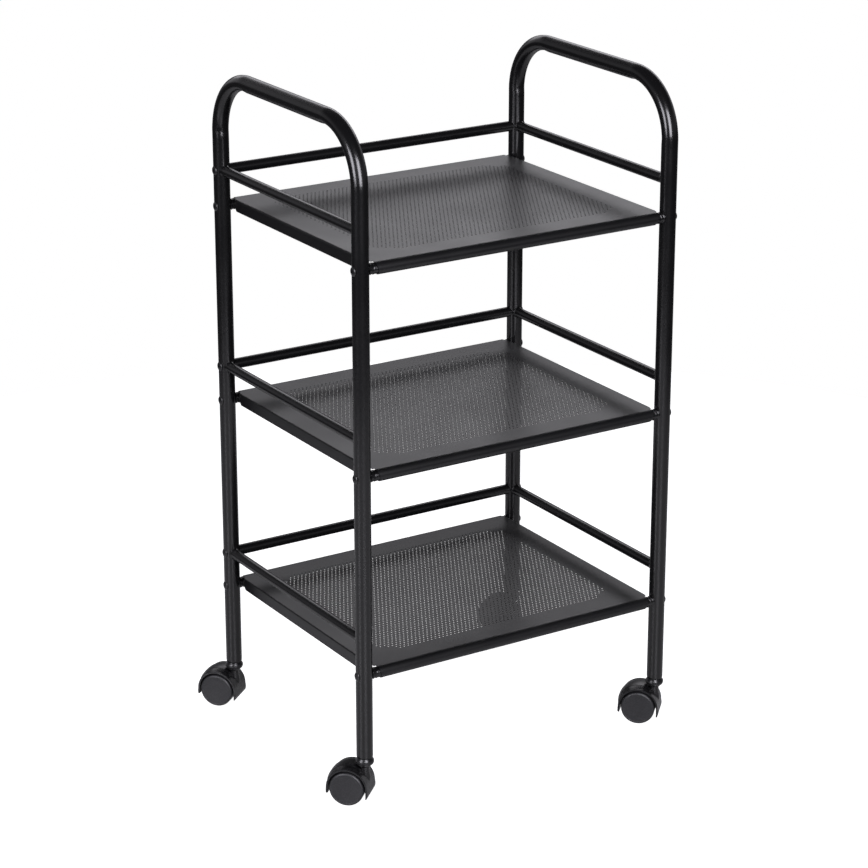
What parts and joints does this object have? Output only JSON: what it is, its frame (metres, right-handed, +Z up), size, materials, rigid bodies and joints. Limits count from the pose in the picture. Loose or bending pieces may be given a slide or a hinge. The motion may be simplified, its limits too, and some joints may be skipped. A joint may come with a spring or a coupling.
{
  "type": "wire shelf cart",
  "caption": "Narrow tiered rolling cart with bent-tube side frames that form handles, perforated metal shelves, low guard rails and twin-wheel swivel casters.",
  "frame": {"origin": "on the floor, under the centre of the cart's bounding box, casters as parked", "axes": "+Z up, +X towards the right side frame along the long shelf edge, +Y from the open front to the back guard rails"},
  "size_m": [0.4648, 0.3714, 0.7933],
  "materials": {
    "powder_coated_tube": "semi-gloss black powder coat",
    "powder_coated_sheet": "satin black powder coat on perforated sheet",
    "black_bolt": "black oxide steel with a cross recess",
    "caster_plastic": "satin moulded black nylon",
    "wheel_plastic": "matte dark grey moulded nylon",
    "axle_steel": "plain steel pin"
  },
  "bodies": {
    "cart_frame": {"left_frame_tube": "powder_coated_tube", "right_frame_tube": "powder_coated_tube", "left_bottom_side_rail": "powder_coated_tube", "left_middle_side_rail": "powder_coated_tube", "left_top_side_rail": "powder_coated_tube", "right_bottom_side_rail": "powder_coated_tube", "right_middle_side_rail": "powder_coated_tube", "right_top_side_rail": "powder_coated_tube", "bottom_shelf_front_tube": "powder_coated_tube", "bottom_shelf_back_tube": "powder_coated_tube", "bottom_back_rail": "powder_coated_tube", "middle_shelf_front_tube": "powder_coated_tube", "middle_shelf_back_tube": "powder_coated_tube", "middle_back_rail": "powder_coated_tube", "top_shelf_front_tube": "powder_coated_tube", "top_shelf_back_tube": "powder_coated_tube", "top_back_rail": "powder_coated_tube", "bottom_shelf_panel": "powder_coated_sheet", "middle_shelf_panel": "powder_coated_sheet", "top_shelf_panel": "powder_coated_sheet", "left_front_bottom_shelf_bolt": "black_bolt", "left_back_bottom_shelf_bolt": "black_bolt", "left_back_bottom_rail_bolt": "black_bolt", "left_front_middle_shelf_bolt": "black_bolt", "left_back_middle_shelf_bolt": "black_bolt", "left_back_middle_rail_bolt": "black_bolt", "left_front_top_shelf_bolt": "black_bolt", "left_back_top_shelf_bolt": "black_bolt", "left_back_top_rail_bolt": "black_bolt", "right_front_bottom_shelf_bolt": "black_bolt", "right_back_bottom_shelf_bolt": "black_bolt", "right_back_bottom_rail_bolt": "black_bolt", "right_front_middle_shelf_bolt": "black_bolt", "right_back_middle_shelf_bolt": "black_bolt", "right_back_middle_rail_bolt": "black_bolt", "right_front_top_shelf_bolt": "black_bolt", "right_back_top_shelf_bolt": "black_bolt", "right_back_top_rail_bolt": "black_bolt", "front_left_caster_socket": "caster_plastic", "front_right_caster_socket": "caster_plastic", "back_left_caster_socket": "caster_plastic", "back_right_caster_socket": "caster_plastic"},
    "front_left_caster": {"front_left_caster_hood": "caster_plastic", "front_left_caster_axle": "axle_steel"},
    "front_left_left_wheel": {"front_left_caster_left_wheel": "wheel_plastic"},
    "front_left_right_wheel": {"front_left_caster_right_wheel": "wheel_plastic"},
    "front_right_caster": {"front_right_caster_hood": "caster_plastic", "front_right_caster_axle": "axle_steel"},
    "front_right_left_wheel": {"front_right_caster_left_wheel": "wheel_plastic"},
    "front_right_right_wheel": {"front_right_caster_right_wheel": "wheel_plastic"},
    "back_left_caster": {"back_left_caster_hood": "caster_plastic", "back_left_caster_axle": "axle_steel"},
    "back_left_left_wheel": {"back_left_caster_left_wheel": "wheel_plastic"},
    "back_left_right_wheel": {"back_left_caster_right_wheel": "wheel_plastic"},
    "back_right_caster": {"back_right_caster_hood": "caster_plastic", "back_right_caster_axle": "axle_steel"},
    "back_right_left_wheel": {"back_right_caster_left_wheel": "wheel_plastic"},
    "back_right_right_wheel": {"back_right_caster_right_wheel": "wheel_plastic"}
  },
  "joints": [
    {"name": "front_left_swivel", "type": "hinge", "parent": "cart_frame", "child": "front_left_caster", "pos_m": [-0.1912, -0.1683, 0.05], "axis": [0, 0, 1], "continuous": true},
    {"name": "front_left_left_wheel_spin", "type": "hinge", "parent": "front_left_caster", "child": "front_left_left_wheel", "pos_m": [-0.20303, -0.15582, 0.0203], "axis": [-0.7254, -0.6884, 0], "continuous": true},
    {"name": "front_left_right_wheel_spin", "type": "hinge", "parent": "front_left_caster", "child": "front_left_right_wheel", "pos_m": [-0.20303, -0.15582, 0.0203], "axis": [-0.7254, -0.6884, 0], "continuous": true},
    {"name": "front_right_swivel", "type": "hinge", "parent": "cart_frame", "child": "front_right_caster", "pos_m": [0.2148, -0.1683, 0.05], "axis": [0, 0, 1], "continuous": true},
    {"name": "front_right_left_wheel_spin", "type": "hinge", "parent": "front_right_caster", "child": "front_right_left_wheel", "pos_m": [0.20243, -0.15635, 0.0203], "axis": [-0.6947, -0.7193, 0], "continuous": true},
    {"name": "front_right_right_wheel_spin", "type": "hinge", "parent": "front_right_caster", "child": "front_right_right_wheel", "pos_m": [0.20243, -0.15635, 0.0203], "axis": [-0.6947, -0.7193, 0], "continuous": true},
    {"name": "back_left_swivel", "type": "hinge", "parent": "cart_frame", "child": "back_left_caster", "pos_m": [-0.1912, 0.1427, 0.05], "axis": [0, 0, 1], "continuous": true},
    {"name": "back_left_left_wheel_spin", "type": "hinge", "parent": "back_left_caster", "child": "back_left_left_wheel", "pos_m": [-0.20216, 0.15596, 0.0203], "axis": [-0.7705, -0.6374, 0], "continuous": true},
    {"name": "back_left_right_wheel_spin", "type": "hinge", "parent": "back_left_caster", "child": "back_left_right_wheel", "pos_m": [-0.20216, 0.15596, 0.0203], "axis": [-0.7705, -0.6374, 0], "continuous": true},
    {"name": "back_right_swivel", "type": "hinge", "parent": "cart_frame", "child": "back_right_caster", "pos_m": [0.2148, 0.1427, 0.05], "axis": [0, 0, 1], "continuous": true},
    {"name": "back_right_left_wheel_spin", "type": "hinge", "parent": "back_right_caster", "child": "back_right_left_wheel", "pos_m": [0.20307, 0.15528, 0.0203], "axis": [-0.7314, -0.682, 0], "continuous": true},
    {"name": "back_right_right_wheel_spin", "type": "hinge", "parent": "back_right_caster", "child": "back_right_right_wheel", "pos_m": [0.20307, 0.15528, 0.0203], "axis": [-0.7314, -0.682, 0], "continuous": true}
  ]
}
